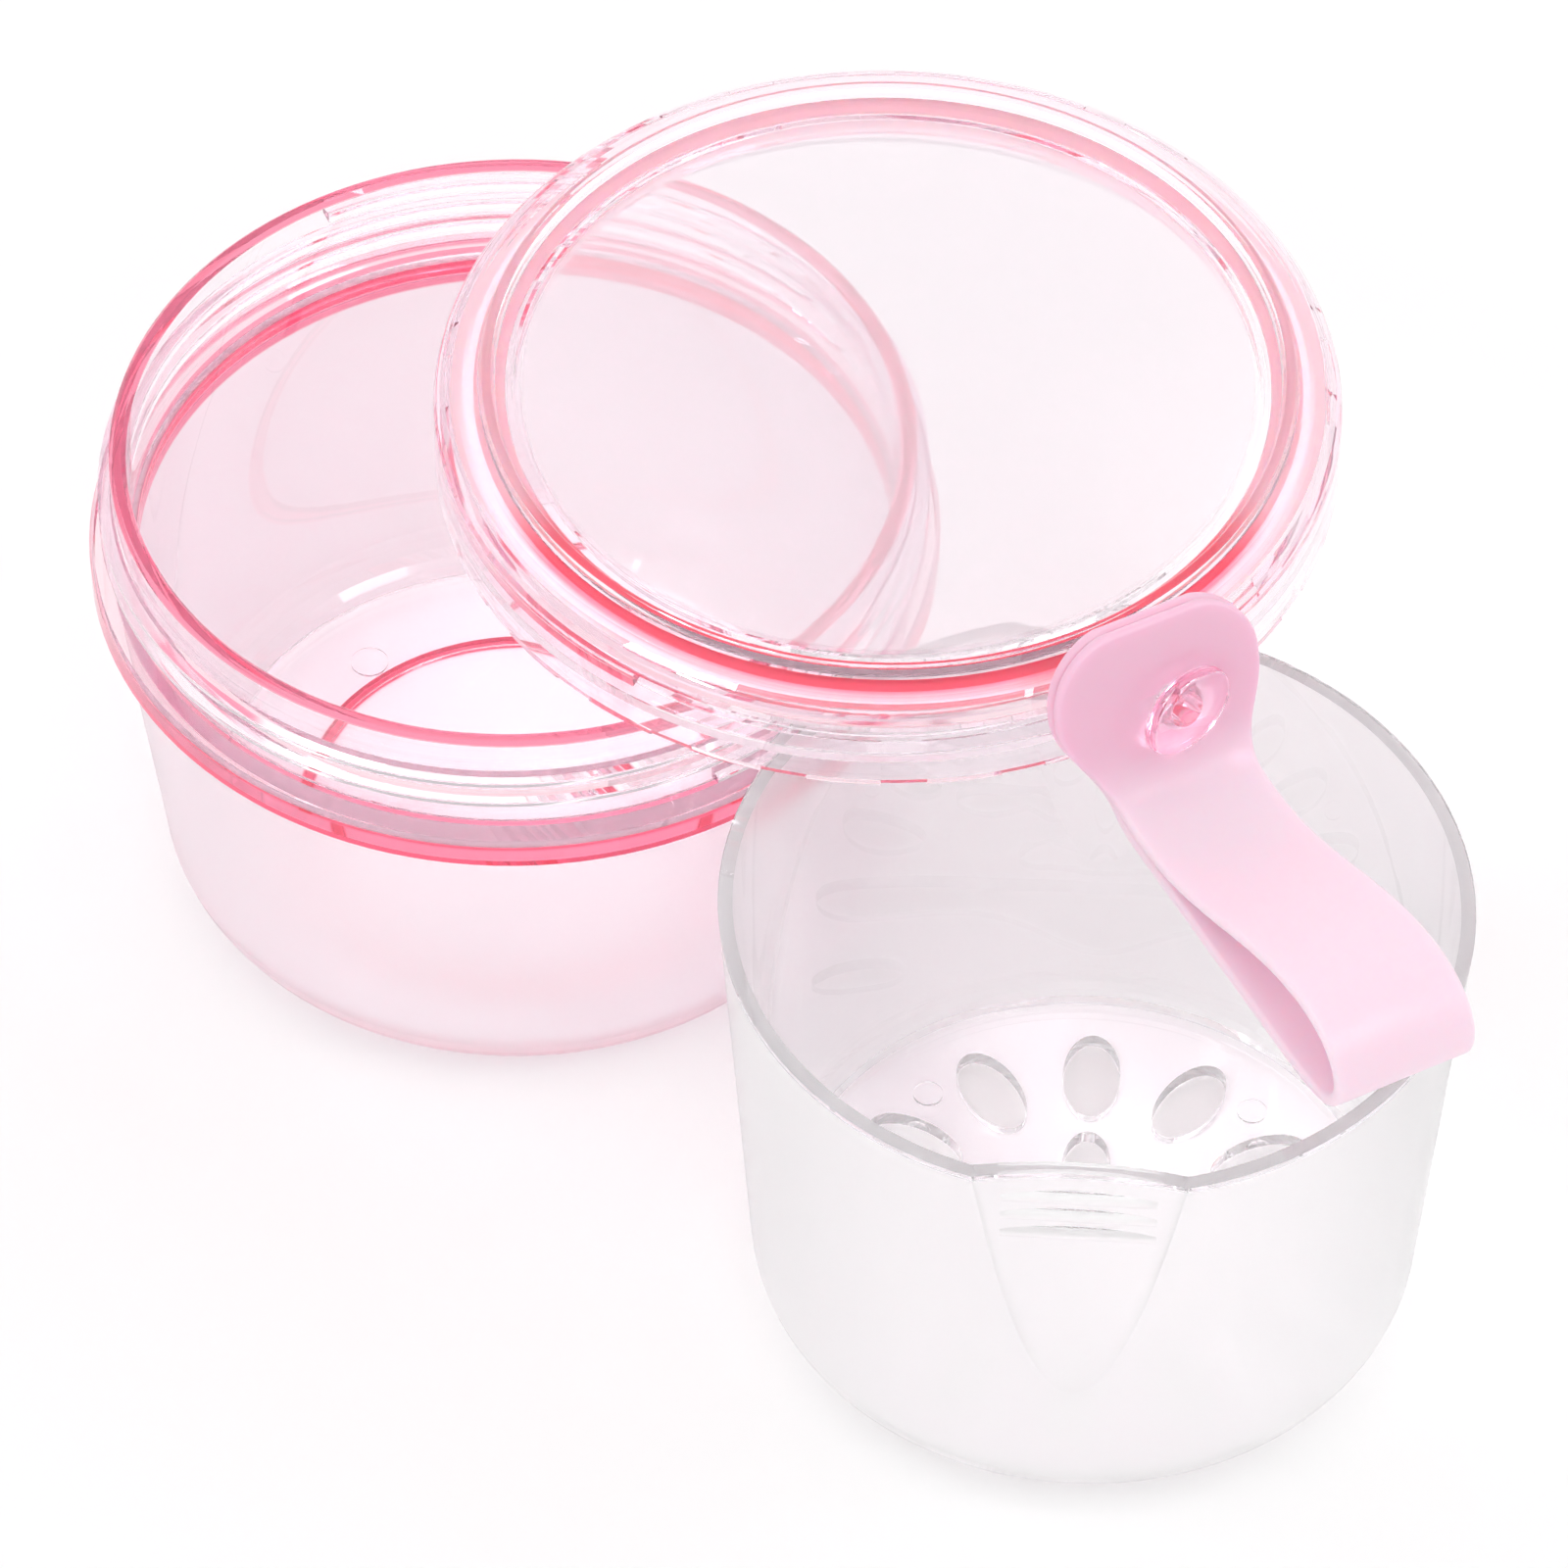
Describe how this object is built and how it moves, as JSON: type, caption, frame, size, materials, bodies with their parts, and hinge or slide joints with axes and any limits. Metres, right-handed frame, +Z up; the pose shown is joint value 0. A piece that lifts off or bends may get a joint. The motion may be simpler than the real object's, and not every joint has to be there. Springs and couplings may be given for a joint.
{
  "type": "soaking cup with basket",
  "caption": "Round see-through screw-neck soaking cup, laid out open with its drain basket and ridged screw lid that has a soft loop strap.",
  "frame": {"origin": "centre of the jar's underside", "axes": "+Z up along the jar's axis, basket towards +X and -Y, lid towards +X"},
  "size_m": [0.1533, 0.1529, 0.083],
  "materials": {
    "jar_plastic": "clear pink moulded plastic, polished",
    "basket_plastic": "clear colourless moulded plastic, polished",
    "lid_plastic": "clear pink moulded plastic, polished",
    "seal_silicone": "soft pink silicone, satin",
    "stud_plastic": "clear pink moulded plastic, polished",
    "strap_silicone": "soft cloudy pink silicone, satin"
  },
  "bodies": {
    "jar_body": {"jar": "jar_plastic"},
    "basket_body": {"basket": "basket_plastic"},
    "seal_body": {"lid_seal": "seal_silicone"},
    "lid_body": {"lid": "lid_plastic", "strap_stud": "stud_plastic"},
    "strap_body": {"carry_strap": "strap_silicone"}
  },
  "joints": [
    {"name": "basket_slide", "type": "slide", "parent": "jar_body", "child": "basket_body", "axis": [0.7071, -0.7071, 0], "range_m": [0, 0.12]},
    {"name": "lid_lift", "type": "slide", "parent": "jar_body", "child": "seal_body", "axis": [0, 0, 1], "range_m": [0, 0.08]},
    {"name": "lid_turn", "type": "hinge", "parent": "seal_body", "child": "lid_body", "pos_m": [0.0418, -0.0009, 0.0628], "axis": [0, 0, 1], "range_deg": [-50, 150]},
    {"name": "strap_swing", "type": "hinge", "parent": "lid_body", "child": "strap_body", "pos_m": [0.07004, -0.04277, 0.0706], "axis": [0.5375, -0.7969, 0.2756], "range_deg": [-12, 6]}
  ]
}
